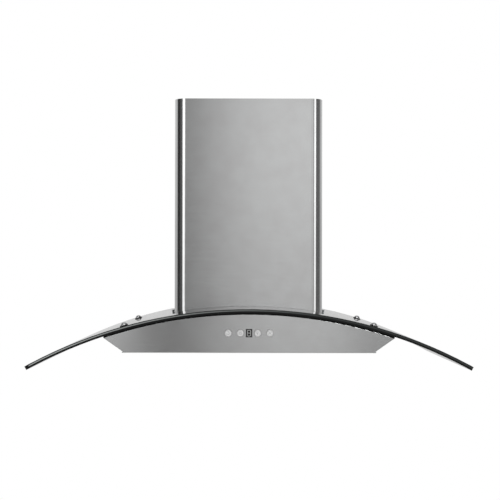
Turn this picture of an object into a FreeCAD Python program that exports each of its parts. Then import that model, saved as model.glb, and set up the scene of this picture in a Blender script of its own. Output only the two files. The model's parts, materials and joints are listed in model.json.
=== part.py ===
import FreeCAD
import Part
import Sketcher
import math
import os
import re
import sys

V = FreeCAD.Vector

# Driving dimensions in millimetres, degrees or counts. Bench heights count from the body's flat bottom,
# depths count forward from the wall, and hang_height lifts the wall pattern's centre to the origin.
SIZES = {
    # glass canopy: a cylindrical arch with straight front and rear edges
    "glass_width": 900, "glass_depth": 500, "glass_thick": 8, "glass_radius": 930, "glass_apex": 88,
    "glass_corner": 14, "notch_corner": 12, "notch_gap": 6,
    # rubber between the glass and the body
    "gasket_thick": 2.8, "gasket_width": 14, "bush_dia": 15,
    # domed bolts through the glass
    "bolt_x": 253, "bolt_front": 35, "bolt_rear": 334, "bolt_dia": 6, "bolt_hole": 7, "dome_dia": 14,
    "dome_height": 5.5, "dome_lip": 1, "washer_dia": 17, "washer_thick": 1.4, "nut_size": 10, "nut_thick": 5,
    "bolt_end": 4,
    # sheet steel body
    "skin": 1.2, "body_set_back": 12, "body_width": 500, "body_top_width": 584, "panel_rim": 14,
    "panel_round": 1, "casing_rim": 16, "plate_margin": 2, "hang_height": 200,
    # clearances: faces that rest on each other, fits, turning bores and sliding pieces
    "seat_gap": 0.15, "fit_gap": 0.2, "running_gap": 0.05, "slide_gap": 0.3,
    # controls in the front panel
    "control_height": 39.6, "button_inner": 17.4, "button_outer": 41.8, "button_dia": 13.6,
    "button_proud": 1.2, "button_travel": 1, "button_gap": 0.3, "button_flange": 16.4,
    "button_flange_thick": 1, "button_edge": 0.6, "button_stem_dia": 4.8,
    "display_width": 12.5, "display_height": 16.3, "display_gap": 0.2, "display_proud": 0.2,
    "display_rim": 2, "display_rim_thick": 1.5, "display_room": 3,
    "guide_width": 112, "guide_height": 26, "guide_thick": 6, "post_size": 5, "board_thick": 1.6,
    "board_set_back": 16, "switch_size": 6, "switch_height": 3.5,
    # baffle filters and the opening that they hang in
    "filter_width": 212, "filter_length": 340, "filter_thick": 10, "filter_rear": 56, "filter_gap": 2,
    "filter_swing_gap": 5, "filter_skin": 1, "filter_flange": 16, "divider": 16, "lip_height": 12,
    "hinge_inset": 4, "hinge_pin_dia": 4, "baffle_count": 8, "baffle_skin": 0.8,
    "baffle_rise": 4.4, "baffle_share": 0.66, "baffle_hold": 4,
    # filter latches
    "latch_travel": 6, "latch_width": 22, "latch_depth": 9, "latch_thick": 2.2, "latch_neck": 6,
    "latch_inset": 3, "latch_tongue": 12, "tongue_gap": 1.3, "tongue_depth": 5.5, "slot_room": 1,
    "grip_count": 3, "grip_pitch": 2.5, "grip_width": 1, "grip_rise": 0.5, "grip_margin": 2,
    # downlights
    "lamp_x": 150, "lamp_dia": 56, "lamp_bezel_dia": 60, "lamp_bezel_thick": 1.6, "lamp_lens_dia": 51,
    "lamp_lip": 1.5, "lamp_sleeve": 8, "lamp_lens_thick": 2.4, "lamp_lens_set_in": 0.3,
    "lamp_can_dia": 43, "lamp_height": 20, "lamp_foot": 2,
    # blower box behind the chimney
    "box_width": 276, "box_depth": 322, "box_bottom": 58, "box_top": 330, "back_flange": 14,
    "hang_x": 200, "hang_z": 160, "hang_hole": 8,
    # double-inlet blower; the scroll is three arcs about the corners of a square
    "fan_behind": 178, "fan_height": 186, "wheel_dia": 180, "wheel_width": 128, "wheel_hub_dia": 28,
    "wheel_hub_length": 20, "wheel_disc_thick": 2, "blade_count": 20, "blade_depth": 14, "blade_thick": 1,
    "blade_sweep": 5, "blade_bow": 24, "end_ring": 4, "shaft_dia": 8, "shaft_end": 14, "shaft_seat": 24,
    "scroll_step": 20, "scroll_start": 106, "scroll_wall": 2, "scroll_width": 146, "tongue_turn": 75,
    "scroll_flange": 12, "scroll_flange_thick": 3, "scroll_flange_reach": 8,
    "inlet_dia": 140, "inlet_bell": 6.5, "inlet_lip": 1.5, "inlet_flange_dia": 176,
    "motor_dia": 84, "motor_length": 57, "shield_step": 6, "shield_front": 8, "shield_rear": 12,
    "spider_thick": 2, "spider_arm": 14, "spider_rim": 8, "spider_arms": 3, "shaft_room": 2,
    # outlet collar and damper
    "collar_dia": 150, "collar_wall": 1.8, "collar_height": 55, "collar_flange_dia": 168,
    "collar_flange": 3, "damper_height": 22, "damper_thick": 1.2, "damper_gap": 1, "damper_pin_dia": 3,
    "knuckle_dia": 6, "knuckle_length": 14, "knuckle_gap": 0.5, "front_knuckles": 0.72,
    "rear_knuckles": 0.36, "ledge_width": 2.2, "ledge_height": 2,
    # chimney covers
    "chimney_width": 320, "chimney_depth": 340, "chimney_height": 446, "chimney_wall": 0.8,
    "chimney_corner": 25, "chimney_flange": 15, "chimney_slip": 0.7, "upper_length": 400,
    "strap_height": 30, "strap_thick": 1.5, "strap_width": 296, "strap_drop": 150, "top_strap_drop": 2,
    "strap_hole": 5.5, "strap_hole_x": 210, "pad_dia": 6, "pad_height": 4.5, "pad_front": 215, "pad_gap": 1,
    # electrical pieces
    "capacitor_dia": 30, "capacitor_length": 52, "capacitor_gap": 20, "stud_dia": 8, "stud_length": 6,
    "terminal_gap": 12, "terminal_length": 66, "terminal_depth": 34, "terminal_height": 20,
    "terminal_lid": 8, "terminal_lip": 1, "driver_gap": 18, "driver_length": 92, "driver_depth": 32,
    "driver_height": 20, "gland_dia": 15, "gland_edge": 30, "gland_wall": 3, "gland_tail": 6,
    "gland_length": 20, "gland_nut_rim": 3, "gland_nut": 5,
}

WORD = re.compile(r"[a-z][a-z_]*")

doc = FreeCAD.newDocument("RangeHood")
sheet = doc.addObject("Spreadsheet::Sheet", "Sizes")
for row, (alias, size) in enumerate(SIZES.items(), start=1):
    sheet.set("A%d" % row, alias)
    sheet.set("B%d" % row, str(size))
    sheet.setAlias("B%d" % row, alias)
doc.recompute()

subparts = []


def bound(text):
    # writes the sheet's name before each size that a formula uses
    def named(found):
        word = found.group()
        return "Sizes." + word if word in SIZES else word

    return WORD.sub(named, str(text))


def value(text):
    return float(sheet.evalExpression(bound(text)))


def bind(item, path, text):
    item.setExpression(path, bound(text))


def subpart(name):
    # a body of its own for each named piece, lowered so that the wall pattern's centre is the origin
    body = doc.addObject("PartDesign::Body", name)
    body.Label = name
    body.AllowCompound = True
    bind(body, "Placement.Base.z", "-hang_height")
    subparts.append(body)
    return body


def origin_item(body, role):
    # one of the body's own planes or axes
    return [item for item in body.Origin.OriginFeatures if item.Role == role][0]


def place(feature, x, y, z, axis=None, angle="0"):
    # puts a primitive's base point at formulas of the sheet, turned about a fixed axis
    if axis is not None:
        feature.Placement = FreeCAD.Placement(V(0, 0, 0), FreeCAD.Rotation(axis, value(angle) or 1))
        bind(feature, "Placement.Rotation.Angle", angle)
    bind(feature, "Placement.Base.x", x)
    bind(feature, "Placement.Base.y", y)
    bind(feature, "Placement.Base.z", z)


def block(body, name, low, size, cut=False):
    kind = "PartDesign::SubtractiveBox" if cut else "PartDesign::AdditiveBox"
    feature = body.newObject(kind, name)
    for side, text in zip(("Length", "Width", "Height"), size):
        bind(feature, side, text)
    place(feature, *low)
    return feature


def round_bar(body, name, base, radius, length, cut=False, axis=None, angle="0"):
    kind = "PartDesign::SubtractiveCylinder" if cut else "PartDesign::AdditiveCylinder"
    feature = body.newObject(kind, name)
    bind(feature, "Radius", radius)
    bind(feature, "Height", length)
    place(feature, base[0], base[1], base[2], axis, angle)
    return feature


ALONG_X = V(0, 1, 0)
ALONG_Y = V(1, 0, 0)


def bar_along_x(body, name, base, radius, length, cut=False):
    return round_bar(body, name, base, radius, length, cut, ALONG_X, "90")


def bar_along_y(body, name, base, radius, length, cut=False):
    return round_bar(body, name, base, radius, length, cut, ALONG_Y, "-90")


def new_sketch(body, name, role, lift="0", shift=("0", "0"), turn=None):
    sketch = body.newObject("Sketcher::SketchObject", name)
    sketch.AttachmentSupport = [(origin_item(body, role), "")]
    sketch.MapMode = "FlatFace"
    if turn is not None:
        turned = FreeCAD.Rotation(V(0, 0, 1), value(turn) or 1)
        sketch.AttachmentOffset = FreeCAD.Placement(V(0, 0, 0), turned)
        bind(sketch, "AttachmentOffset.Rotation.Angle", turn)
    bind(sketch, "AttachmentOffset.Base.x", shift[0])
    bind(sketch, "AttachmentOffset.Base.y", shift[1])
    bind(sketch, "AttachmentOffset.Base.z", lift)
    return sketch


def fix_point(sketch, geometry, end, x, y):
    # holds one end of a line or arc at formulas measured from the sketch's origin
    for kind, text in (("DistanceX", x), ("DistanceY", y)):
        number = sketch.addConstraint(Sketcher.Constraint(kind, -1, 1, geometry, end, value(text)))
        bind(sketch, "Constraints[%d]" % number, text)


def draw(sketch, path):
    # path is a list of (x, y) corners; a third and fourth entry make the stretch that ends there an arc
    # of that radius, which bends "left" or "right" as the path is walked; the last corner joins the first
    pieces = []
    corners = [V(value(step[0]), value(step[1]), 0) for step in path]
    for index, step in enumerate(path):
        start, finish = corners[index - 1], corners[index]
        if len(step) == 2:
            geometry = sketch.addGeometry(Part.LineSegment(start, finish), False)
            pieces.append((geometry, 1, 2))
            continue
        radius, left = value(step[2]), step[3] == "left"
        chord = finish - start
        reach = math.sqrt(max(radius ** 2 - chord.Length ** 2 / 4, 0))
        side = V(-chord.y, chord.x, 0).normalize() * (reach if left else -reach)
        centre = (start + finish) * 0.5 + side
        first, last = (start, finish) if left else (finish, start)
        angles = [math.atan2(point.y - centre.y, point.x - centre.x) for point in (first, last)]
        circle = Part.Circle(centre, V(0, 0, 1), radius)
        geometry = sketch.addGeometry(Part.ArcOfCircle(circle, angles[0], angles[1]), False)
        number = sketch.addConstraint(Sketcher.Constraint("Radius", geometry, radius))
        bind(sketch, "Constraints[%d]" % number, step[2])
        pieces.append((geometry, 1, 2) if left else (geometry, 2, 1))
    for index, step in enumerate(path):
        here, following = pieces[index], pieces[(index + 1) % len(pieces)]
        sketch.addConstraint(Sketcher.Constraint("Coincident", here[0], here[2], following[0], following[1]))
        fix_point(sketch, here[0], here[2], step[0], step[1])


def draw_circle(sketch, x, y, radius):
    centre = V(value(x), value(y), 0)
    geometry = sketch.addGeometry(Part.Circle(centre, V(0, 0, 1), value(radius)), False)
    number = sketch.addConstraint(Sketcher.Constraint("Radius", geometry, value(radius)))
    bind(sketch, "Constraints[%d]" % number, radius)
    fix_point(sketch, geometry, 3, x, y)


def pad(body, name, sketch, length, middle=False, back=False):
    feature = body.newObject("PartDesign::Pad", name)
    feature.Profile = sketch
    feature.Midplane = middle
    feature.Reversed = back
    bind(feature, "Length", length)
    return feature


def pocket(body, name, sketch, length, middle=False, ahead=False):
    # ahead cuts along the sketch's normal; the default cuts against it
    feature = body.newObject("PartDesign::Pocket", name)
    feature.Profile = sketch
    feature.Midplane = middle
    feature.Reversed = ahead
    bind(feature, "Length", length)
    return feature


def revolve(body, name, sketch, axis="V_Axis"):
    feature = body.newObject("PartDesign::Revolution", name)
    feature.Profile = sketch
    feature.ReferenceAxis = (sketch, [axis])
    feature.Angle = 360
    return feature


def ease_edges(body, name, kind, size, wanted):
    # a Fillet or Chamfer on those edges of the piece so far that meet the test
    doc.recompute()
    base = body.Tip
    edges = ["Edge%d" % (index + 1) for index, edge in enumerate(base.Shape.Edges) if wanted(edge)]
    feature = body.newObject("PartDesign::" + kind, name)
    feature.Base = (base, edges)
    bind(feature, "Radius" if kind == "Fillet" else "Size", size)
    return feature


def pattern_line(body, name, originals, role, count, length, back=False):
    feature = body.newObject("PartDesign::LinearPattern", name)
    feature.Originals = originals
    feature.Direction = (origin_item(body, role), [""])
    feature.Reversed = back
    bind(feature, "Occurrences", count)
    bind(feature, "Length", length)
    body.Tip = feature
    return feature


def mirror(body, name, originals, role="YZ_Plane"):
    feature = body.newObject("PartDesign::Mirrored", name)
    feature.Originals = originals
    feature.MirrorPlane = (origin_item(body, role), [""])
    body.Tip = feature
    return feature


# Shared formulas. The arch's axis runs front to back through ARC_Z, far below the body.
ARC_Z = "(glass_apex - glass_radius)"
UNDER_R = "(glass_radius - glass_thick)"
TOP_R = "(glass_radius - glass_thick - gasket_thick)"
SKIN_R = "(glass_radius - glass_thick - gasket_thick - skin)"
FRONT = "(glass_depth - body_set_back)"
RIM_REAR = "(glass_depth - body_set_back - panel_rim)"
HALF_BOTTOM = "(body_width / 2)"
HALF_TOP = "(body_top_width / 2)"


def arc_height(radius, x):
    return "(%s + sqrt((%s)^2 - (%s)^2))" % (ARC_Z, radius, x)


CORNER_Z = arc_height(TOP_R, HALF_TOP)
SIDE_RUN = "(%s - %s)" % (HALF_TOP, HALF_BOTTOM)
SIDE_LENGTH = "sqrt(%s^2 + %s^2)" % (SIDE_RUN, CORNER_Z)


def side_x(height, inset="0"):
    # half width of the slanted side at a height, moved inwards square to the side
    return "(%s + %s * (%s) / %s - (%s) * %s / %s)" % (
        HALF_BOTTOM, SIDE_RUN, height, CORNER_Z, inset, SIDE_LENGTH, CORNER_Z)


def section(top_radius, inset, bottom, top_x, top_z):
    # the body's cross-section: flat bottom, slanted sides and an arched top
    low_x = side_x(bottom, inset)
    return [("-" + low_x, bottom), (low_x, bottom), (top_x, top_z), ("-" + top_x, top_z, top_radius, "left")]


def corner_drop(depth):
    # how far down the slanted side a face lies that is set in from the arch by depth
    return "((%s) * %s / (%s * %s + %s * (%s - %s)) * %s)" % (
        depth, TOP_R, SIDE_RUN, HALF_TOP, CORNER_Z, CORNER_Z, ARC_Z, CORNER_Z)


def radial(radius, x, depth):
    # base point of a feature that stands square to the arch over a point x off the middle
    lean_x = "(%s) * (%s) / glass_radius" % (radius, x)
    lean_z = "%s + (%s) * sqrt(1 - ((%s) / glass_radius)^2)" % (ARC_Z, radius, x)
    return lean_x, "-(%s)" % depth, lean_z


def glass_canopy():
    body = subpart("glass_canopy")
    half = "(glass_width / 2)"
    low = "(%s * %s / glass_radius)" % (half, UNDER_R)
    tip_z = arc_height("glass_radius", half)
    low_z = arc_height(UNDER_R, low)
    outline = new_sketch(body, "ArchSection", "XZ_Plane")
    draw(outline, [("-" + low, low_z), (low, low_z, UNDER_R, "right"), (half, tip_z),
                   ("-" + half, tip_z, "glass_radius", "left")])
    pad(body, "Arch", outline, "glass_depth")
    tip = value(low) - 1
    ease_edges(body, "PlanCorners", "Fillet", "glass_corner", lambda edge: (
        edge.BoundBox.YLength < 0.01 and (edge.BoundBox.XMin > tip or edge.BoundBox.XMax < -tip)))
    notch_x = "(box_width / 2 + notch_gap)"
    notch_y = "(box_depth + notch_gap)"
    corner_y = "(box_depth + notch_gap - notch_corner)"
    corner_x = "(box_width / 2 + notch_gap - notch_corner)"
    notch = new_sketch(body, "NotchPlan", "XY_Plane")
    draw(notch, [("-" + notch_x, "1"), ("-" + notch_x, "-" + corner_y),
                 ("-" + corner_x, "-" + notch_y, "notch_corner", "left"), (corner_x, "-" + notch_y),
                 (notch_x, "-" + corner_y, "notch_corner", "left"), (notch_x, "1")])
    pocket(body, "Notch", notch, "glass_apex + 1", ahead=True)
    bolt_holes(body, UNDER_R)
    return body


def bolt_holes(body, radius):
    # four holes square to the arch, through a sheet whose under face has the given radius
    for side in (-1, 1):
        for place_name, depth in (("Front", "glass_depth - bolt_front"), ("Rear", "glass_depth - bolt_rear")):
            x = "%d * bolt_x" % side
            base = radial("%s - 20" % radius, x, depth)
            round_bar(body, "Bolt%sHole%s" % (place_name, "L" if side < 0 else "R"), base, "bolt_hole / 2",
                      "60", cut=True, axis=ALONG_X, angle="asin((%s) / glass_radius)" % x)


def glass_gasket():
    # a frame of rubber strip on the body's arched top, open at the back where the blower box stands
    body = subpart("glass_gasket")
    half = "(%s - seat_gap)" % HALF_TOP
    low_r = "(%s + seat_gap / 2)" % TOP_R
    high_r = "(%s - seat_gap / 2)" % UNDER_R
    outline = new_sketch(body, "StripSection", "XZ_Plane", lift="skin + seat_gap")
    low_z = arc_height(low_r, half)
    high_z = arc_height(high_r, half)
    draw(outline, [("-" + half, low_z), (half, low_z, low_r, "right"), (half, high_z),
                   ("-" + half, high_z, high_r, "left")])
    pad(body, "Strip", outline, "%s - skin - seat_gap" % FRONT)
    inner = "(%s - gasket_width)" % HALF_TOP
    block(body, "MiddleOpen", ("-" + inner, "-(%s - gasket_width)" % FRONT, "0"),
          ("2 * " + inner, "%s - 2 * gasket_width - skin" % FRONT, "glass_apex + 1"), cut=True)
    gap = "(box_width / 2 + notch_gap)"
    block(body, "BackOpen", ("-" + gap, "-(gasket_width * 2)", "0"),
          ("2 * " + gap, "gasket_width * 2 + 1", "glass_apex + 1"), cut=True)
    return body


def standing_round(body, name, profile, x, depth):
    # turns a profile about the arch's normal at one bolt; the profile's y is the radius from the arch's axis
    lean = "asin((%s) / glass_radius)" % x
    sketch = new_sketch(body, name + "Profile", "XZ_Plane", lift=depth, shift=("0", ARC_Z),
                        turn="-(%s)" % lean)
    draw(sketch, profile)
    return revolve(body, name, sketch)


def bolt_group(name, profile):
    body = subpart(name)
    front = standing_round(body, "FrontPiece", profile, "bolt_x", "glass_depth - bolt_front")
    rear = standing_round(body, "RearPiece", profile, "bolt_x", "glass_depth - bolt_rear")
    mirror(body, "OtherSide", [front, rear])
    return body


def glass_fixings():
    head = "(glass_radius + washer_thick + 2 * seat_gap)"
    foot = "(%s - nut_thick - bolt_end)" % SKIN_R
    shank = "(bolt_dia / 2)"
    dome = "(dome_dia / 2)"
    dome_rise = "(dome_height - dome_lip)"
    dome_r = "((%s^2 + %s^2) / (2 * %s))" % (dome, dome_rise, dome_rise)
    bolt_group("glass_bolts", [("0", foot), (shank, foot), (shank, head), (dome, head),
                               (dome, head + " + dome_lip"), ("0", head + " + dome_height", dome_r, "left")])
    bore = "(bolt_dia / 2 + fit_gap)"
    rim = "(washer_dia / 2)"
    base = "(glass_radius + seat_gap)"
    bolt_group("bolt_washers", [(bore, base), (rim, base), (rim, base + " + washer_thick"),
                                (bore, base + " + washer_thick")])
    low = "(%s + seat_gap)" % TOP_R
    high = "(%s - seat_gap)" % UNDER_R
    bolt_group("glass_bushes", [(bore, low), ("bush_dia / 2", low), ("bush_dia / 2", high), (bore, high)])
    hexagon_nuts()


def hexagon_nuts():
    body = subpart("bolt_nuts")
    base_r = "(%s - seat_gap - nut_thick)" % SKIN_R
    lean = "asin(bolt_x / glass_radius)"
    made = []
    for place_name, depth in (("Front", "glass_depth - bolt_front"), ("Rear", "glass_depth - bolt_rear")):
        base = radial(base_r, "bolt_x", depth)
        nut = body.newObject("PartDesign::AdditivePrism", place_name + "Nut")
        nut.Polygon = 6
        bind(nut, "Circumradius", "nut_size / sqrt(3)")
        bind(nut, "Height", "nut_thick")
        place(nut, *base, axis=ALONG_X, angle=lean)
        hole = round_bar(body, place_name + "Thread", base, "bolt_dia / 2 + running_gap", "nut_thick",
                         cut=True, axis=ALONG_X, angle=lean)
        made += [nut, hole]
    mirror(body, "OtherSide", made)


def front_panel():
    body = subpart("front_panel")
    outline = new_sketch(body, "PanelSection", "XZ_Plane", lift=RIM_REAR)
    draw(outline, section(TOP_R, "0", "0", HALF_TOP, CORNER_Z))
    pad(body, "Panel", outline, "panel_rim")
    front = -value(FRONT) + 0.01
    ease_edges(body, "FrontRound", "Fillet", "panel_round", lambda edge: edge.BoundBox.YMax < front)
    inside = new_sketch(body, "TrayInside", "XZ_Plane", lift=RIM_REAR)
    drop = corner_drop("2 * skin")
    top_z = "(%s - %s)" % (CORNER_Z, drop)
    draw(inside, section(SKIN_R, "skin", "skin", side_x(top_z, "skin"), top_z))
    pocket(body, "Tray", inside, "panel_rim - skin", ahead=True)
    start = "-(%s + 1)" % FRONT
    for number, x in enumerate(BUTTON_X, start=1):
        bar_along_y(body, "ButtonHole%d" % number, (x, start, "control_height"),
                    "button_dia / 2 + button_gap", "skin + 2", cut=True)
    block(body, "DisplayHole",
          ("-(display_width / 2 + display_gap)", start, "control_height - display_height / 2 - display_gap"),
          ("display_width + 2 * display_gap", "skin + 2", "display_height + 2 * display_gap"), cut=True)
    return body


BUTTON_X = ("-button_outer", "-button_inner", "button_inner", "button_outer")


def body_casing():
    body = subpart("body_casing")
    outline = new_sketch(body, "CasingSection", "XZ_Plane")
    top_z = "(%s - %s)" % (CORNER_Z, corner_drop("skin + seat_gap"))
    draw(outline, section("(%s - seat_gap)" % SKIN_R, "0", "0", side_x(top_z), top_z))
    pad(body, "Casing", outline, RIM_REAR)
    inside = new_sketch(body, "CasingInside", "XZ_Plane", lift="skin")
    high = "glass_apex"
    draw(inside, [("-" + side_x("skin", "skin"), "skin"), (side_x("skin", "skin"), "skin"),
                  (side_x(high, "skin"), high), ("-" + side_x(high, "skin"), high)])
    pocket(body, "Inside", inside, "glass_depth", ahead=True)
    inner = "(%s - casing_rim)" % HALF_BOTTOM
    block(body, "UnderOpening", ("-" + inner, "-glass_depth", "-1"),
          ("2 * " + inner, "glass_depth - casing_rim", "skin + 2"), cut=True)
    notch = "(box_width / 2 + seat_gap)"
    block(body, "BoxNotch", ("-" + notch, "-2 * skin", "box_bottom - seat_gap"),
          ("2 * " + notch, "3 * skin", "glass_apex"), cut=True)
    return body


def top_plate():
    body = subpart("top_plate")
    low_x = "(%s * %s / %s)" % (HALF_TOP, SKIN_R, TOP_R)
    outline = new_sketch(body, "PlateSection", "XZ_Plane")
    low_z = arc_height(SKIN_R, low_x)
    draw(outline, [("-" + low_x, low_z), (low_x, low_z, SKIN_R, "right"), (HALF_TOP, CORNER_Z),
                   ("-" + HALF_TOP, CORNER_Z, TOP_R, "left")])
    pad(body, "Plate", outline, RIM_REAR)
    half = "(box_width / 2 + seat_gap)"
    block(body, "BoxOpening", ("-" + half, "-(box_depth + seat_gap)", "0"),
          ("2 * " + half, "box_depth + seat_gap + 1", "glass_apex"), cut=True)
    bolt_holes(body, SKIN_R)
    return body


# The filter openings, one each side of the divider
OPEN_IN = "(divider / 2)"
OPEN_WIDTH = "(filter_width + 2 * filter_gap)"
OPEN_FRONT = "(filter_rear + filter_length + filter_gap)"
OPEN_REAR = "(filter_rear - filter_swing_gap)"
FILTER_FRONT = "(filter_rear + filter_length)"
FILTER_BASE = "skin"
HINGE_Y = "(filter_rear + hinge_inset)"
HINGE_Z = "(%s + hinge_inset)" % FILTER_BASE
LAMP_Y = "((%s + %s) / 2)" % (FRONT, OPEN_FRONT)
SIDES = (("left", -1), ("right", 1))


def box_x(side, inner, width):
    # the low X of a box that starts at inner and is width wide, on the left or right side
    return inner if side > 0 else "-(%s + %s)" % (inner, width)


def under_panel():
    body = subpart("under_panel")
    half = "(%s - plate_margin)" % HALF_BOTTOM
    front = "(%s - skin - seat_gap)" % FRONT
    block(body, "Plate", ("-" + half, "-" + front, "skin"),
          ("2 * " + half, front + " - skin - seat_gap", "skin"))
    depth = "(%s - %s)" % (OPEN_FRONT, OPEN_REAR)
    for name, side in SIDES:
        block(body, "Lip" + name, (box_x(side, "(%s - skin)" % OPEN_IN, "(%s + 2 * skin)" % OPEN_WIDTH),
                                   "-(%s + skin)" % OPEN_FRONT, "skin"),
              (OPEN_WIDTH + " + 2 * skin", depth + " + 2 * skin", "skin + lip_height"))
    for name, side in SIDES:
        block(body, "Opening" + name, (box_x(side, OPEN_IN, OPEN_WIDTH), "-" + OPEN_FRONT, "0"),
              (OPEN_WIDTH, depth, "lip_height + 3 * skin"), cut=True)
        round_bar(body, "LampHole" + name, ("%d * lamp_x" % side, "-" + LAMP_Y, "0"),
                  "lamp_dia / 2 + fit_gap", "3 * skin", cut=True)
        bar_along_x(body, "HingeHoles" + name, (box_x(side, "(%s - 2 * skin)" % OPEN_IN,
                                                     "(%s + 4 * skin)" % OPEN_WIDTH),
                                                "-" + HINGE_Y, HINGE_Z),
                    "hinge_pin_dia / 2 + running_gap", OPEN_WIDTH + " + 4 * skin", cut=True)
    return body


def filter_x(side, inset="0"):
    # low X of a filter on one side, moved in from its edge
    return box_x(side, "(%s + filter_gap + %s)" % (OPEN_IN, inset), "(filter_width - 2 * (%s))" % inset)


def filter_frame(name, side):
    # a folded channel on four sides, open upwards and downwards in the middle
    body = subpart(name)
    block(body, "Frame", (filter_x(side), "-" + FILTER_FRONT, FILTER_BASE),
          ("filter_width", "filter_length", "filter_thick"))
    block(body, "Channel", (filter_x(side, "filter_skin"), "-(%s - filter_skin)" % FILTER_FRONT,
                            FILTER_BASE + " + filter_skin"),
          ("filter_width - 2 * filter_skin", "filter_length - 2 * filter_skin",
           "filter_thick - 2 * filter_skin"), cut=True)
    block(body, "Window", (filter_x(side, "filter_flange"), "-(%s - filter_flange)" % FILTER_FRONT, "0"),
          ("filter_width - 2 * filter_flange", "filter_length - 2 * filter_flange",
           "filter_thick + 3 * skin"), cut=True)
    reach = "(filter_gap + skin + 1)"
    length = "(%s + filter_skin)" % reach
    middle = "(%s + filter_gap + filter_width / 2)" % OPEN_IN
    for end, shift in (("Inner", "-(filter_width / 2 + %s)" % reach),
                       ("Outer", "(filter_width / 2 - filter_skin)")):
        start = "(%s + %s)" % (middle, shift)
        bar_along_x(body, "HingePin" + end, (box_x(side, start, length), "-" + HINGE_Y, HINGE_Z),
                    "hinge_pin_dia / 2", length)
    x = "(%d * %s)" % (side, middle)
    block(body, "NeckSlot", ("%s - latch_neck / 2 - slide_gap" % x,
                             "-(%s - latch_inset + slot_room)" % FILTER_FRONT, "0"),
          ("latch_neck + 2 * slide_gap", "latch_depth + 2 * slot_room",
           FILTER_BASE + " + filter_skin + 0.5"), cut=True)
    block(body, "TongueSlot", ("%s - latch_tongue / 2 - slide_gap" % x, "-(%s + 1)" % FILTER_FRONT,
                               FILTER_BASE + " + filter_skin"),
          ("latch_tongue + 2 * slide_gap", "filter_skin + 2", "latch_thick + 2 * slide_gap"), cut=True)
    return body


def filter_baffles(name, side):
    # interlocking channels along the filter: a lower row that opens upwards and an upper row turned over
    body = subpart(name)
    inner = "(filter_width - 2 * filter_flange)"
    pitch = "(%s / baffle_count)" % inner
    wide = "(baffle_share * %s)" % pitch
    start = "(%s + %s / 2)" % (filter_x(side, "filter_flange"), pitch)
    low = "(%s + filter_skin + seat_gap)" % FILTER_BASE
    high = "(%s + filter_thick - filter_skin - seat_gap)" % FILTER_BASE
    length = "(filter_length - 2 * filter_flange + 2 * baffle_hold)"
    lift = "(filter_rear + filter_flange - baffle_hold)"

    def channel(label, centre, base, rise):
        # one channel's section; rise is its signed height above or below its flat
        flat = "%s + %s" % (base, rise)
        skin = "baffle_skin" if not rise.startswith("-") else "-baffle_skin"
        half = "%s / 2" % wide
        sketch = new_sketch(body, label, "XZ_Plane", lift=lift)
        corners = [("-1", base), ("1", base), ("1", flat), ("in", flat), ("in", base + " + " + skin),
                   ("out", base + " + " + skin), ("out", flat), ("-1", flat)]
        across = {"-1": "%s - %s" % (centre, half), "1": "%s + %s" % (centre, half),
                  "in": "%s + %s - baffle_skin" % (centre, half),
                  "out": "%s - %s + baffle_skin" % (centre, half)}
        draw(sketch, [(across[key], z) for key, z in corners])
        return pad(body, label + "Pad", sketch, length)

    lower = channel("LowerBaffle", start, low, "baffle_rise")
    pattern_line(body, "LowerRow", [lower], "X_Axis", "baffle_count", "%s - %s" % (inner, pitch))
    upper = channel("UpperBaffle", "(%s + %s / 2)" % (start, pitch), high, "-baffle_rise")
    pattern_line(body, "UpperRow", [upper], "X_Axis", "baffle_count - 1", "%s - 2 * %s" % (inner, pitch))
    return body


def filter_latch(name, side):
    # a finger piece under the frame's front flange, a neck through it and a tongue towards the opening's lip
    body = subpart(name)
    x = "(%d * (%s + filter_gap + filter_width / 2))" % (side, OPEN_IN)
    top = "(%s - slide_gap)" % FILTER_BASE
    front = "(%s - latch_inset)" % FILTER_FRONT
    block(body, "Finger", ("%s - latch_width / 2" % x, "-" + front, "%s - latch_thick" % top),
          ("latch_width", "latch_depth", "latch_thick"))
    inside = "(%s + filter_skin + slide_gap)" % FILTER_BASE
    block(body, "Neck", ("%s - latch_neck / 2" % x, "-" + front, "%s - 0.5" % top),
          ("latch_neck", "latch_depth - latch_travel", "%s + 1 - %s" % (inside, top)))
    block(body, "Tongue", ("%s - latch_tongue / 2" % x,
                           "-(%s + filter_gap - tongue_gap)" % FILTER_FRONT, inside),
          ("latch_tongue", "filter_gap - tongue_gap + tongue_depth", "latch_thick"))
    grip = block(body, "Grip", ("%s - latch_width / 2 + grip_margin" % x, "-(%s - grip_margin)" % front,
                                "%s - latch_thick - grip_rise" % top),
                 ("latch_width - 2 * grip_margin", "grip_width", "grip_rise + latch_thick / 2"))
    pattern_line(body, "Grips", [grip], "Y_Axis", "grip_count", "(grip_count - 1) * grip_pitch")
    return body


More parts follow.
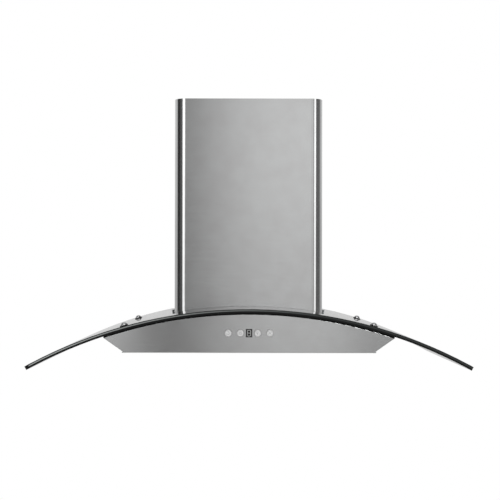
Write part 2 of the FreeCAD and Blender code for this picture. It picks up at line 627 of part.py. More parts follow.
def lamp(side_name, side):
    x = "%d * lamp_x" % side
    y = "-" + LAMP_Y
    bezel = subpart("lamp_bezel_" + side_name)
    lip_top = "(skin - lamp_bezel_thick + lamp_lip)"
    round_bar(bezel, "Flange", (x, y, "skin - lamp_bezel_thick"), "lamp_bezel_dia / 2", "lamp_bezel_thick")
    round_bar(bezel, "Sleeve", (x, y, "skin - lamp_bezel_thick"), "lamp_dia / 2",
              "lamp_bezel_thick + lamp_sleeve")
    round_bar(bezel, "Mouth", (x, y, "-5"), "lamp_lens_dia / 2 - lamp_lip", "20", cut=True)
    round_bar(bezel, "Seat", (x, y, lip_top), "lamp_lens_dia / 2 + fit_gap", "20", cut=True)
    lens = subpart("lamp_lens_" + side_name)
    round_bar(lens, "Disc", (x, y, lip_top), "lamp_lens_dia / 2", "lamp_lens_thick")
    round_bar(lens, "Face", (x, y, "skin - lamp_bezel_thick + lamp_lens_set_in"),
              "lamp_lens_dia / 2 - lamp_lip - fit_gap", "lamp_lip")
    body = subpart("lamp_body_" + side_name)
    base = "(%s + lamp_lens_thick)" % lip_top
    round_bar(body, "Can", (x, y, base), "lamp_can_dia / 2", "lamp_height")
    round_bar(body, "Foot", (x, y, base), "lamp_lens_dia / 2", "lamp_foot")


def button(number, x):
    body = subpart("button_%d" % number)
    face = "(%s + button_proud)" % FRONT
    guide_back = "(%s - skin - guide_thick)" % FRONT
    bar_along_y(body, "Cap", (x, "-" + face, "control_height"), "button_dia / 2",
                "%s - %s + slide_gap" % (face, guide_back))
    front = -value(face) + 0.01
    ease_edges(body, "CapEdge", "Chamfer", "button_edge", lambda edge: edge.BoundBox.YMax < front)
    behind = (x, "-(%s - slide_gap)" % guide_back, "control_height")
    bar_along_y(body, "Flange", behind, "button_flange / 2", "button_flange_thick")
    end = "(%s - board_set_back + switch_height + button_travel + slide_gap)" % FRONT
    bar_along_y(body, "Stem", behind, "button_stem_dia / 2", "%s - slide_gap - %s" % (guide_back, end))
    return body


def controls():
    for number, x in enumerate(BUTTON_X, start=1):
        button(number, x)
    inner = "(%s - skin)" % FRONT
    board_face = "(%s - board_set_back)" % FRONT
    guide = subpart("button_guide")
    block(guide, "Plate", ("-guide_width / 2", "-" + inner, "control_height - guide_height / 2"),
          ("guide_width", "guide_thick", "guide_height"))
    for number, x in enumerate(BUTTON_X, start=1):
        bar_along_y(guide, "Guide%d" % number, (x, "-(%s + 1)" % inner, "control_height"),
                    "button_dia / 2 + button_gap", "guide_thick + 2", cut=True)
    block(guide, "DisplaySlot", ("-(display_width / 2 + display_room)", "-(%s + 1)" % inner,
                                 "control_height - display_height / 2 - display_room"),
          ("display_width + 2 * display_room", "guide_thick + 2", "display_height + 2 * display_room"),
          cut=True)
    for side in (-1, 1):
        for level in (-1, 1):
            block(guide, "Post%s%s" % ("L" if side < 0 else "R", "Low" if level < 0 else "High"),
                  ("%d * (guide_width - post_size) / 2 - post_size / 2" % side, "-(%s - guide_thick)" % inner,
                   "control_height + %d * (guide_height - post_size) / 2 - post_size / 2" % level),
                  ("post_size", "%s - guide_thick - %s" % (inner, board_face), "post_size"))
    window = subpart("display_window")
    block(window, "Face", ("-display_width / 2", "-(%s + display_proud)" % FRONT,
                           "control_height - display_height / 2"),
          ("display_width", "display_proud + skin + display_rim_thick", "display_height"))
    block(window, "Flange", ("-(display_width / 2 + display_rim)", "-" + inner,
                             "control_height - display_height / 2 - display_rim"),
          ("display_width + 2 * display_rim", "display_rim_thick", "display_height + 2 * display_rim"))
    board = subpart("control_board")
    block(board, "Board", ("-guide_width / 2", "-" + board_face, "control_height - guide_height / 2"),
          ("guide_width", "board_thick", "guide_height"))
    for number, x in enumerate(BUTTON_X, start=1):
        block(board, "Switch%d" % number, (x + " - switch_size / 2", "-(%s + switch_height)" % board_face,
                                           "control_height - switch_size / 2"),
              ("switch_size", "switch_height + 0.2", "switch_size"))
    module = subpart("display_module")
    module_front = "(%s - display_rim_thick)" % inner
    block(module, "Module", ("-display_width / 2", "-" + module_front, "control_height - display_height / 2"),
          ("display_width", "%s - %s" % (module_front, board_face), "display_height"))


def blower_box():
    # a wrapper folded round three sides, a tray that hangs on the wall and a lid with the duct's outlet
    half = "(box_width / 2)"
    under_lid = "(box_top - skin - seat_gap)"
    sides = subpart("box_sides")
    block(sides, "Outside", ("-" + half, "-box_depth", "box_bottom"),
          ("box_width", "box_depth", under_lid + " - box_bottom"))
    block(sides, "Inside", ("-(%s - skin)" % half, "-(box_depth - skin)", "box_bottom - 1"),
          ("box_width - 2 * skin", "box_depth + 1", "box_top - box_bottom + 1"), cut=True)

    back = subpart("box_back")
    back_half = "(%s - skin - seat_gap)" % half
    block(back, "Tray", ("-" + back_half, "-back_flange", "box_bottom"),
          ("2 * " + back_half, "back_flange", under_lid + " - box_bottom"))
    block(back, "TrayInside", ("-(%s - skin)" % back_half, "-(back_flange + 1)", "box_bottom - 1"),
          ("2 * (%s - skin)" % back_half, "back_flange + 1 - skin", "box_top - box_bottom + 1"), cut=True)
    for side in (-1, 1):
        for level in (-1, 1):
            bar_along_y(back, "Hang%s%s" % ("L" if side < 0 else "R", "Low" if level < 0 else "High"),
                        ("%d * hang_x / 2" % side, "-3", "hang_height + %d * hang_z / 2" % level),
                        "hang_hole / 2", "5", cut=True)

    lid = subpart("box_lid")
    block(lid, "Lid", ("-" + half, "-box_depth", "box_top - skin"), ("box_width", "box_depth", "skin"))
    below = "(box_top - 2 * skin)"
    round_bar(lid, "Outlet", ("0", "-" + COLLAR_Y, below), "collar_dia / 2 - collar_wall", "3 * skin",
              cut=True)
    round_bar(lid, "GlandHole", (GLAND_X, "-" + GLAND_Y, below), "gland_dia / 2 + fit_gap", "3 * skin",
              cut=True)


# The scroll, measured from the fan's shaft: u runs to the wall and v upwards
FAN_Y = "fan_behind"
FAN_Z = "fan_height"
STEP = "(scroll_step / 2)"
OUT_REAR = "(%s + scroll_start + 2 * scroll_step)" % STEP
TONGUE_U = "(scroll_start * cos(tongue_turn) - %s)" % STEP
COLLAR_Y = "(%s - (%s + %s) / 2)" % (FAN_Y, OUT_REAR, TONGUE_U)
SCROLL_TOP = "(box_top - skin - fan_height)"
GLAND_X = "(box_width / 2 - gland_edge)"
GLAND_Y = "(box_depth - gland_edge)"


def scroll_path(wall, top):
    # three quarter arcs about the square's corners, then the straight outlet; wall moves it outwards
    def arc(start):
        return "(scroll_start + %s + %s)" % (start, wall)

    tongue_u = "(%s - %s)" % (TONGUE_U, wall)
    tongue_v = "(sqrt(%s^2 - (%s + %s)^2) - %s)" % (arc("0"), tongue_u, STEP, STEP)
    rear = "(%s + %s)" % (OUT_REAR, wall)
    return [(tongue_u, top), (tongue_u, tongue_v),
            ("-(%s + %s)" % (arc("0"), STEP), "-" + STEP, arc("0"), "left"),
            (STEP, "-(%s + %s)" % (arc("scroll_step"), STEP), arc("scroll_step"), "left"),
            (rear, STEP, arc("2 * scroll_step"), "left"), (rear, top)]


def scroll_housing():
    body = subpart("scroll_housing")
    shift = ("-" + FAN_Y, FAN_Z)
    outline = new_sketch(body, "ScrollOutline", "YZ_Plane", shift=shift)
    draw(outline, scroll_path("scroll_wall", SCROLL_TOP))
    pad(body, "Scroll", outline, "scroll_width", middle=True)
    inside = new_sketch(body, "ScrollInside", "YZ_Plane", shift=shift)
    draw(inside, scroll_path("0", "(%s + 5)" % SCROLL_TOP))
    pocket(body, "Inside", inside, "scroll_width - 2 * scroll_wall", middle=True)
    bar_along_x(body, "Inlets", ("-scroll_width", "-" + FAN_Y, FAN_Z), "inlet_dia / 2 + inlet_bell + fit_gap",
                "2 * scroll_width", cut=True)
    flange_low = "(%s + %s - scroll_flange_thick)" % (FAN_Z, SCROLL_TOP)
    front = "(%s - %s + scroll_flange_reach)" % (FAN_Y, TONGUE_U)
    depth = "(%s - %s + scroll_flange_reach + scroll_wall)" % (OUT_REAR, TONGUE_U)
    for name, side in SIDES:
        block(body, "Flange" + name, (box_x(side, "(scroll_width / 2 - scroll_wall / 4)", "scroll_flange"),
                                      "-" + front, flange_low),
              ("scroll_flange", depth, "scroll_flange_thick"))
    return body


def inlet_ring(name, side):
    # a flared mouth on the scroll's side plate, turned about the fan's shaft
    body = subpart(name)
    sketch = new_sketch(body, "BellProfile", "XZ_Plane", lift=FAN_Y, shift=("0", FAN_Z))
    face = "(scroll_width / 2)"
    throat = "inlet_dia / 2"
    deep = "(%s + inlet_lip - inlet_bell)" % face
    signed = ["%d * %s" % (side, x) for x in (face, "(%s + inlet_lip)" % face, deep)]
    rim, mouth = "inlet_flange_dia / 2", throat + " + inlet_bell"
    draw(sketch, [(signed[0], rim), (signed[0], mouth), (signed[2], throat + " + inlet_lip"),
                  (signed[2], throat), (signed[1], mouth), (signed[1], rim)])
    revolve(body, "Bell", sketch, "H_Axis")
    return body


def fan_wheel():
    # a double-inlet squirrel cage: blades on both sides of a middle disc, tied by a ring at each end
    body = subpart("fan_wheel")
    shift = ("-" + FAN_Y, FAN_Z)
    tip = "(wheel_dia / 2 - 1)"
    root = "(%s - blade_depth)" % tip
    blade = new_sketch(body, "BladeSection", "YZ_Plane", shift=shift)
    draw(blade, [("0", root, "blade_bow", "left"), ("blade_thick", root),
                 ("blade_sweep + blade_thick", tip, "blade_bow", "right"), ("blade_sweep", tip)])
    first = pad(body, "Blade", blade, "wheel_width - end_ring", middle=True)
    turn = body.newObject("PartDesign::PolarPattern", "Blades")
    turn.Originals = [first]
    turn.Axis = (blade, ["N_Axis"])
    bind(turn, "Occurrences", "blade_count")
    turn.Angle = 360
    body.Tip = turn
    bar_along_x(body, "Disc", ("-wheel_disc_thick / 2", "-" + FAN_Y, FAN_Z), root + " + blade_depth / 4",
                "wheel_disc_thick")
    bar_along_x(body, "Hub", ("-wheel_hub_length / 2", "-" + FAN_Y, FAN_Z), "wheel_hub_dia / 2",
                "wheel_hub_length")
    bar_along_x(body, "HubBore", ("-wheel_hub_length", "-" + FAN_Y, FAN_Z), "shaft_dia / 2 + running_gap",
                "2 * wheel_hub_length", cut=True)
    for name, x in (("Left", "-wheel_width / 2"), ("Right", "wheel_width / 2 - end_ring")):
        ring = new_sketch(body, "Ring" + name, "YZ_Plane", lift=x, shift=shift)
        draw_circle(ring, "0", "0", "wheel_dia / 2")
        draw_circle(ring, "0", "0", "wheel_dia / 2 - blade_depth / 2")
        pad(body, "EndRing" + name, ring, "end_ring")
    return body


MOTOR_X = "(scroll_width / 2 + inlet_lip + spider_thick)"


def motor_pieces():
    spider = subpart("motor_spider")
    face = "(scroll_width / 2 + inlet_lip)"
    shift = ("-" + FAN_Y, FAN_Z)
    sketch = new_sketch(spider, "SpiderRim", "YZ_Plane", lift=face, shift=shift)
    draw_circle(sketch, "0", "0", "inlet_flange_dia / 2")
    draw_circle(sketch, "0", "0", "inlet_flange_dia / 2 - spider_rim")
    pad(spider, "Rim", sketch, "spider_thick")
    arm = new_sketch(spider, "Arm", "YZ_Plane", lift=face, shift=shift)
    half, low, high = "spider_arm / 2", "motor_dia / 4", "(inlet_flange_dia - spider_rim) / 2"
    draw(arm, [("-" + half, low), (half, low), (half, high), ("-" + half, high)])
    first = pad(spider, "ArmPad", arm, "spider_thick")
    turn = spider.newObject("PartDesign::PolarPattern", "Arms")
    turn.Originals = [first]
    turn.Axis = (arm, ["N_Axis"])
    bind(turn, "Occurrences", "spider_arms")
    turn.Angle = 360
    spider.Tip = turn
    bar_along_x(spider, "Middle", (face, "-" + FAN_Y, FAN_Z), "motor_dia / 2 - spider_rim", "spider_thick")
    bar_along_x(spider, "ShaftHole", ("scroll_width / 2", "-" + FAN_Y, FAN_Z), "shaft_dia / 2 + shaft_room",
                "inlet_lip + 2 * spider_thick", cut=True)

    motor = subpart("fan_motor")
    bar_along_x(motor, "EndShield", (MOTOR_X, "-" + FAN_Y, FAN_Z), "motor_dia / 2 - shield_step",
                "motor_length")
    bar_along_x(motor, "Stator", (MOTOR_X + " + shield_front", "-" + FAN_Y, FAN_Z), "motor_dia / 2",
                "motor_length - shield_front - shield_rear")
    bar_along_x(motor, "Bearing", (MOTOR_X, "-" + FAN_Y, FAN_Z), "shaft_dia / 2 + running_gap",
                "shaft_seat", cut=True)

    shaft = subpart("motor_shaft")
    bar_along_x(shaft, "Shaft", ("-shaft_end", "-" + FAN_Y, FAN_Z), "shaft_dia / 2",
                MOTOR_X + " + shaft_end + shaft_seat - shaft_room")


def outlet_collar():
    body = subpart("outlet_collar")
    y = "-" + COLLAR_Y
    inner = "(collar_dia / 2 - collar_wall)"
    round_bar(body, "Flange", ("0", y, "box_top"), "collar_flange_dia / 2", "collar_flange")
    round_bar(body, "Tube", ("0", y, "box_top"), "collar_dia / 2", "collar_height")
    round_bar(body, "Bore", ("0", y, "box_top - 1"), inner + " - ledge_width", "collar_height + 2", cut=True)
    ledge = "(box_top + damper_height - damper_thick / 2 - slide_gap)"
    round_bar(body, "AboveLedge", ("0", y, ledge), inner, "collar_height", cut=True)
    round_bar(body, "BelowLedge", ("0", y, "box_top - 1"), inner,
              "damper_height - damper_thick / 2 - slide_gap - ledge_height + 1", cut=True)
    bar_along_x(body, "PinHoles", ("-collar_dia", y, DAMPER_Z), "damper_pin_dia / 2 + running_gap",
                "2 * collar_dia", cut=True)
    return body


DAMPER_Z = "(box_top + damper_height)"


def damper_pin():
    body = subpart("damper_pin")
    bar_along_x(body, "Pin", ("-(collar_dia / 2 - 0.3)", "-" + COLLAR_Y, DAMPER_Z), "damper_pin_dia / 2",
                "collar_dia - 0.6")


def damper_flap(name, side, knuckles):
    # half a disc with two knuckles on the pin; side is -1 for the front half
    body = subpart(name)
    radius = "(collar_dia / 2 - collar_wall - damper_gap)"
    edge = "(knuckle_dia / 2 + knuckle_gap)"
    base = "%s - damper_thick / 2" % DAMPER_Z
    round_bar(body, "Disc", ("0", "-" + COLLAR_Y, base), radius, "damper_thick")
    low = "-(%s + %s)" % (COLLAR_Y, edge) if side < 0 else "-(%s + collar_dia)" % COLLAR_Y
    block(body, "OtherHalf", ("-collar_dia", low, base + " - 1"),
          ("2 * collar_dia", "collar_dia + " + edge, "damper_thick + 2"), cut=True)
    far, near = "(%s + 0.1)" % edge, "(knuckle_dia / 4)"
    bridge = "-(%s + %s)" % (COLLAR_Y, far) if side < 0 else "-%s + %s" % (COLLAR_Y, near)
    for place_name, middle in knuckles:
        start = "%s - knuckle_length / 2" % middle
        block(body, "Bridge" + place_name, (start, bridge, base),
              ("knuckle_length", "%s - %s" % (far, near), "damper_thick"))
        bar_along_x(body, "Knuckle" + place_name, (start, "-" + COLLAR_Y, DAMPER_Z), "knuckle_dia / 2",
                    "knuckle_length")
    bar_along_x(body, "PinBore", ("-collar_dia", "-" + COLLAR_Y, DAMPER_Z),
                "damper_pin_dia / 2 + running_gap", "2 * collar_dia", cut=True)
    return body


def cover_path(half, depth, wall, corner, flange, back):
    # a sheet bent to three sides with rounded corners and a flange turned in along the wall
    inner = "(%s - %s)" % (corner, wall)
    return [("-(%s - %s)" % (half, flange), "-" + back), ("-" + half, "-" + back),
            ("-" + half, "-(%s - %s)" % (depth, corner)),
            ("-(%s - %s)" % (half, corner), "-" + depth, corner, "left"),
            ("(%s - %s)" % (half, corner), "-" + depth),
            (half, "-(%s - %s)" % (depth, corner), corner, "left"),
            (half, "-" + back), ("(%s - %s)" % (half, flange), "-" + back),
            ("(%s - %s)" % (half, flange), "-(%s + %s)" % (back, wall)),
            ("(%s - %s)" % (half, wall), "-(%s + %s)" % (back, wall)),
            ("(%s - %s)" % (half, wall), "-(%s - %s)" % (depth, corner)),
            ("(%s - %s)" % (half, corner), "-(%s - %s)" % (depth, wall), inner, "right"),
            ("-(%s - %s)" % (half, corner), "-(%s - %s)" % (depth, wall)),
            ("-(%s - %s)" % (half, wall), "-(%s - %s)" % (depth, corner), inner, "right"),
            ("-(%s - %s)" % (half, wall), "-(%s + %s)" % (back, wall)),
            ("-(%s - %s)" % (half, flange), "-(%s + %s)" % (back, wall))]


CHIMNEY_TOP = "(glass_apex + chimney_height)"
SLIP = "(chimney_wall + chimney_slip)"


def chimney_covers():
    lower = subpart("lower_chimney")
    foot = "(%s - 5)" % arc_height("glass_radius", "chimney_width / 2")
    plan = new_sketch(lower, "CoverPlan", "XY_Plane", lift=foot)
    draw(plan, cover_path("(chimney_width / 2)", "chimney_depth", "chimney_wall", "chimney_corner",
                          "chimney_flange", "0"))
    pad(lower, "Cover", plan, "%s - %s" % (CHIMNEY_TOP, foot))
    bar_along_y(lower, "ArchedFoot", ("0", "-glass_depth", ARC_Z), "glass_radius + seat_gap",
                "2 * glass_depth", cut=True)
    upper = subpart("upper_chimney")
    plan = new_sketch(upper, "CoverPlan", "XY_Plane", lift="%s - upper_length" % CHIMNEY_TOP)
    draw(plan, cover_path("(chimney_width / 2 - %s)" % SLIP, "(chimney_depth - %s)" % SLIP, "chimney_wall",
                          "(chimney_corner - %s)" % SLIP, "chimney_flange", SLIP))
    pad(upper, "Cover", plan, "upper_length")


STRAP_BACK = "(%s + chimney_wall)" % SLIP


def wall_strap(name, low_z, gap, wall_gap):
    # a strap in front of the inner cover's flanges, with two feet that reach back to the wall
    body = subpart(name)
    back = "(%s + %s)" % (STRAP_BACK, gap)
    block(body, "Strap", ("-strap_width / 2", "-(%s + strap_thick)" % back, low_z),
          ("strap_width", "strap_thick", "strap_height"))
    for side_name, side in SIDES:
        x = "%d * strap_hole_x / 2" % side
        block(body, "Foot" + side_name, (x + " - strap_height / 2", "-(%s + 0.1)" % back, low_z),
              ("strap_height", "%s + 0.1 - %s" % (back, wall_gap), "strap_height"))
        bar_along_y(body, "Hole" + side_name, (x, "-2 * " + back, low_z + " + strap_height / 2"),
                    "strap_hole / 2", "3 * " + back, cut=True)
    return body


def chimney_pads():
    # two small rubber stops on the glass against the cover's sides
    body = subpart("chimney_pads")
    x = "(chimney_width / 2 + pad_dia / 2 + pad_gap)"
    base = radial("glass_radius + seat_gap", x, "glass_depth - pad_front")
    first = round_bar(body, "Stop", base, "pad_dia / 2", "pad_height", axis=ALONG_X,
                      angle="asin((%s) / glass_radius)" % x)
    mirror(body, "OtherStop", [first])


def electrical():
    # the pieces behind the filters, on the under panel, and the gland that the supply comes in by
    y = "(%s / 2)" % OPEN_REAR
    floor = "(2 * skin)"
    capacitor = subpart("capacitor")
    left = "(box_width / 2 + capacitor_gap + capacitor_length)"
    height = "(%s + capacitor_dia / 2)" % floor
    bar_along_x(capacitor, "Can", ("-" + left, "-" + y, height), "capacitor_dia / 2", "capacitor_length")
    bar_along_x(capacitor, "Stud", ("-(%s + stud_length)" % left, "-" + y, height), "stud_dia / 2",
                "stud_length + 1")
    terminal = subpart("terminal_box")
    block(terminal, "Base", ("box_width / 2 + terminal_gap", "-(%s + terminal_depth / 2)" % y, floor),
          ("terminal_length", "terminal_depth", "terminal_height"))
    block(terminal, "Lid", ("box_width / 2 + terminal_gap - terminal_lip",
                            "-(%s + terminal_depth / 2 + terminal_lip)" % y, floor + " + terminal_height"),
          ("terminal_length + 2 * terminal_lip", "terminal_depth + 2 * terminal_lip", "terminal_lid"))
    driver = subpart("lamp_driver")
    block(driver, "Case", ("-(driver_gap + driver_length)", "-(%s + driver_depth / 2)" % y, floor),
          ("driver_length", "driver_depth", "driver_height"))
    gland = subpart("cable_gland")
    round_bar(gland, "Neck", (GLAND_X, "-" + GLAND_Y, "box_top - skin - gland_tail"), "gland_dia / 2",
              "gland_length")
    round_bar(gland, "Collar", (GLAND_X, "-" + GLAND_Y, "box_top"), "gland_dia / 2 + gland_nut_rim",
              "gland_nut")
    round_bar(gland, "CableWay", (GLAND_X, "-" + GLAND_Y, "box_top - gland_length"),
              "gland_dia / 2 - gland_wall", "3 * gland_length", cut=True)


def build():
    glass_canopy()
    glass_gasket()
    glass_fixings()
    front_panel()
    body_casing()
    top_plate()
    under_panel()
    controls()
    for side_name, side in SIDES:
        filter_frame("filter_frame_" + side_name, side)
        filter_baffles("filter_baffles_" + side_name, side)
        filter_latch("filter_latch_" + side_name, side)
        lamp(side_name, side)
        inlet_ring("inlet_ring_" + side_name, side)
    blower_box()
    scroll_housing()
    fan_wheel()
    motor_pieces()
    outlet_collar()
    damper_pin()
    for name, side, share in (("front", -1, "front_knuckles"), ("rear", 1, "rear_knuckles")):
        knuckle = "collar_dia / 2 * " + share
        damper_flap("damper_flap_" + name, side, (("Left", "-" + knuckle), ("Right", knuckle)))
    chimney_covers()
    wall_strap("chimney_bracket", "(%s - strap_drop)" % CHIMNEY_TOP, "slide_gap", "0")
    wall_strap("top_bracket", "(%s - top_strap_drop - strap_height)" % CHIMNEY_TOP, "0", "slide_gap")
    chimney_pads()
    electrical()


build()
doc.recompute()

faults = []
for item in doc.Objects:
    if any(state in item.State for state in ("Invalid", "Error")):
        faults.append("%s is %s" % (item.Name, item.State))
for body in subparts:
    if body.Shape.isNull() or not body.Shape.isValid() or not body.Shape.Solids:
        faults.append("%s has no valid solid" % body.Label)
if faults:
    sys.exit("\n".join(faults))

os.makedirs("parts", exist_ok=True)
for body in subparts:
    body.Shape.exportStep(os.path.join("parts", body.Label + ".step"))
    print("%-24s %3d solids %12.1f mm3" % (body.Label, len(body.Shape.Solids), body.Shape.Volume))
print(len(subparts), "nodes")
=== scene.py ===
import json
import math

import bmesh
import bpy
from mathutils import Matrix, Vector


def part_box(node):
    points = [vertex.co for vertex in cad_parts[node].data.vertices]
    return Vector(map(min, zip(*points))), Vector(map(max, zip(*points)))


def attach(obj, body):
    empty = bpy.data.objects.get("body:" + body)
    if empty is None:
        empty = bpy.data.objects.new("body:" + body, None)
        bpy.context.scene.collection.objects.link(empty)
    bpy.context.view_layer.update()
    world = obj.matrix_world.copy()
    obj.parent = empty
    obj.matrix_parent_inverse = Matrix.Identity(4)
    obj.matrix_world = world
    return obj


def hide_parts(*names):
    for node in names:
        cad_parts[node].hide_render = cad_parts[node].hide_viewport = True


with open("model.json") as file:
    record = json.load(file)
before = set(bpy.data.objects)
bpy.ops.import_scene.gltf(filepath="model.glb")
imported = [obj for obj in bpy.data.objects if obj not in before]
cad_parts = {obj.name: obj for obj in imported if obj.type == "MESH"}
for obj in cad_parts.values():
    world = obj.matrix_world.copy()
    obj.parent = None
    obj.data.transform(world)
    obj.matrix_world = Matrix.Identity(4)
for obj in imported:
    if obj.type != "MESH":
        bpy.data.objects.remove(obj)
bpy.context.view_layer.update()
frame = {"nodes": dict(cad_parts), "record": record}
print("frame loaded:", len(frame["nodes"]), "nodes")


def deselect():
    bpy.ops.object.select_all(action="DESELECT")


def begin(name, operator, **settings):
    # a primitive added with nothing else selected
    deselect()
    operator(**settings)
    piece = bpy.context.object
    piece.name = name
    return piece


def activate(piece):
    deselect()
    piece.select_set(True)
    bpy.context.view_layer.objects.active = piece


def pick(piece, kind, wanted):
    # selects in edit mode the verts, edges or faces that the test wants
    mesh = bmesh.from_edit_mesh(piece.data)
    bpy.ops.mesh.select_all(action="DESELECT")
    for item in getattr(mesh, kind):
        item.select = wanted(item)
    mesh.select_flush_mode()
    bmesh.update_edit_mesh(piece.data)


def settle(piece):
    # puts the piece's place into its mesh
    activate(piece)
    bpy.ops.object.transform_apply(location=True, rotation=True, scale=True)


def modify(piece, kind, **settings):
    activate(piece)
    modifier = piece.modifiers.new(kind.title(), kind)
    for key, value in settings.items():
        setattr(modifier, key, value)
    bpy.ops.object.modifier_apply(modifier=modifier.name)


def copyOf(piece, name, matrix=Matrix()):
    # a copy with its own mesh, placed in its mesh
    other = piece.copy()
    other.data = piece.data.copy()
    other.name = name
    bpy.context.scene.collection.objects.link(other)
    other.data.transform(matrix)
    return other


def join(pieces, name):
    activate(pieces[0])
    for piece in pieces:
        piece.select_set(True)
    bpy.ops.object.join()
    pieces[0].name = name
    return pieces[0]


def hand(piece, material, body):
    # a finished piece gets its material and the body that it moves with
    piece.data.materials.clear()
    piece.data.materials.append(material)
    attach(piece, body)


def linear(hexColour):
    # an sRGB hex colour as linear red, green, blue and alpha
    parts = [int(hexColour[i:i + 2], 16) / 255 for i in (1, 3, 5)]
    return [c / 12.92 if c <= 0.04045 else ((c + 0.055) / 1.055) ** 2.4 for c in parts] + [1]


def addNode(tree, kind, links=None, take=0, stops=(), **settings):
    # adds a node, gives its sockets values or other nodes' outputs, and returns the output that is
    # taken; stops are a colour ramp's places and colours, from 0 up
    node = tree.nodes.new(kind)
    for key, value in settings.items():
        setattr(node, key, value)
    for index, (at, colour) in enumerate(stops):
        marks = node.color_ramp.elements
        mark = marks[index] if index < 2 else marks.new(at)
        mark.position = at
        mark.color = colour
    for socket, value in (links or {}).items():
        if isinstance(value, bpy.types.NodeSocket):
            tree.links.new(value, node.inputs[socket])
        else:
            node.inputs[socket].default_value = value
    return node.outputs[take] if len(node.outputs) else node


def begunMaterial(name, values):
    # a principled material with its plain socket values, and the object's own coordinates
    material = bpy.data.materials.new(name)
    material.use_nodes = True
    tree = material.node_tree
    shader = tree.nodes["Principled BSDF"]
    for socket, value in values.items():
        shader.inputs[socket].default_value = value
    return material, tree, shader, addNode(tree, "ShaderNodeTexCoord", take="Object")


def connect(shader, results):
    # leads what the nodes work out to the shader's own sockets
    for socket, result in results.items():
        shader.id_data.links.new(result, shader.inputs[socket])


# Materials. Sizes of patterns are in millimetres, and what is too fine to show is drawn coarser.
# A colour mix has its factor at socket 0, its colours at 6 and 7 and its result at output 2.

brushedValues = {"colour": "#bbbbbb", "paler": "#c0c1c1", "low": 0.13, "high": 0.17, "stretch": 0.9,
                 "scratchWidth": 0.35, "scratchLength": 60, "cloud": 35, "depth": 0.000001,
                 "shadeFrom": 0.15, "shadeTo": 0.35, "roughFrom": 0.3, "roughTo": 0.7}


def brushedStainless(name, along, across):
    # belt brushed stainless sheet: straight scratches along the axes named, which smear what it
    # mirrors across them; real ones are under 0.1 mm wide, and these are drawn wide enough to show
    values = brushedValues
    material, tree, shader, place = begunMaterial(name, {
        "Metallic": 1, "Anisotropic": values["stretch"]})
    sizes = [values["scratchLength"] if axis in along else values["scratchWidth"] for axis in "XYZ"]
    scaled = addNode(tree, "ShaderNodeMapping", {
        "Vector": place, "Scale": [1000 / size for size in sizes]})
    scratch = addNode(tree, "ShaderNodeTexNoise", {
        "Vector": scaled, "Scale": 1, "Detail": 3, "Roughness": 0.65})
    cloud = addNode(tree, "ShaderNodeTexNoise", {
        "Vector": place, "Scale": 1000 / values["cloud"], "Detail": 4})
    both = addNode(tree, "ShaderNodeMath", {0: scratch, 1: cloud}, operation="MULTIPLY")
    shade = addNode(tree, "ShaderNodeMapRange", {
        "Value": both, "From Min": values["shadeFrom"], "From Max": values["shadeTo"]})
    connect(shader, {
        "Tangent": addNode(tree, "ShaderNodeCombineXYZ", dict(zip("XYZ", across))),
        "Base Color": addNode(tree, "ShaderNodeMix", {
            0: shade, 6: linear(values["colour"]), 7: linear(values["paler"])},
            take=2, data_type="RGBA"),
        "Roughness": addNode(tree, "ShaderNodeMapRange", {
            "Value": scratch, "From Min": values["roughFrom"], "From Max": values["roughTo"],
            "To Min": values["low"], "To Max": values["high"]}),
        "Normal": addNode(tree, "ShaderNodeBump", {"Height": scratch, "Distance": values["depth"]})})
    return material


glassValues = {"tint": "#f4f6f5", "ior": 1.5, "absorption": "#5c6461", "density": 9.0, "radius": 0.93,
               "thick": 0.008}


def toughenedGlass():
    # clear toughened float glass, polished and faintly grey in depth
    values = glassValues
    material, tree, shader, place = begunMaterial("toughenedFloatGlass", {
        "Base Color": linear(values["tint"]), "Roughness": 0.0, "IOR": values["ior"],
        "Transmission Weight": 1})
    depth = addNode(tree, "ShaderNodeVolumeAbsorption", {
        "Color": linear(values["absorption"]), "Density": values["density"]})
    tree.links.new(depth, tree.nodes["Material Output"].inputs["Volume"])
    return material


# The rim's colours, which hold painted light and painted shade, from its top line, 0, to its lower one,
# 1: at the left a pale painted line stands for light entering, and the right is painted darker. The
# corner at the left is painted dark as painted shade. Places from left to right are in metres.
paintedEdgeLightValues = {"left": [(0, "#101111"), (0.2, "#1e201f"), (0.28, "#939695"), (0.44, "#939695"),
                       (0.54, "#0c0d0d"), (1, "#050606")],
              "right": [(0, "#18191a"), (0.24, "#2b2e2d"), (0.5, "#2e3030"), (0.6, "#0e0f0f"),
                        (1, "#040505")],
              "from": -0.4, "to": 0.15, "corner": "#060707", "cornerFrom": -0.4375,
              "cornerTo": -0.4405, "grind": 1.2, "low": 0.2, "high": 0.32, "shine": 0.2}


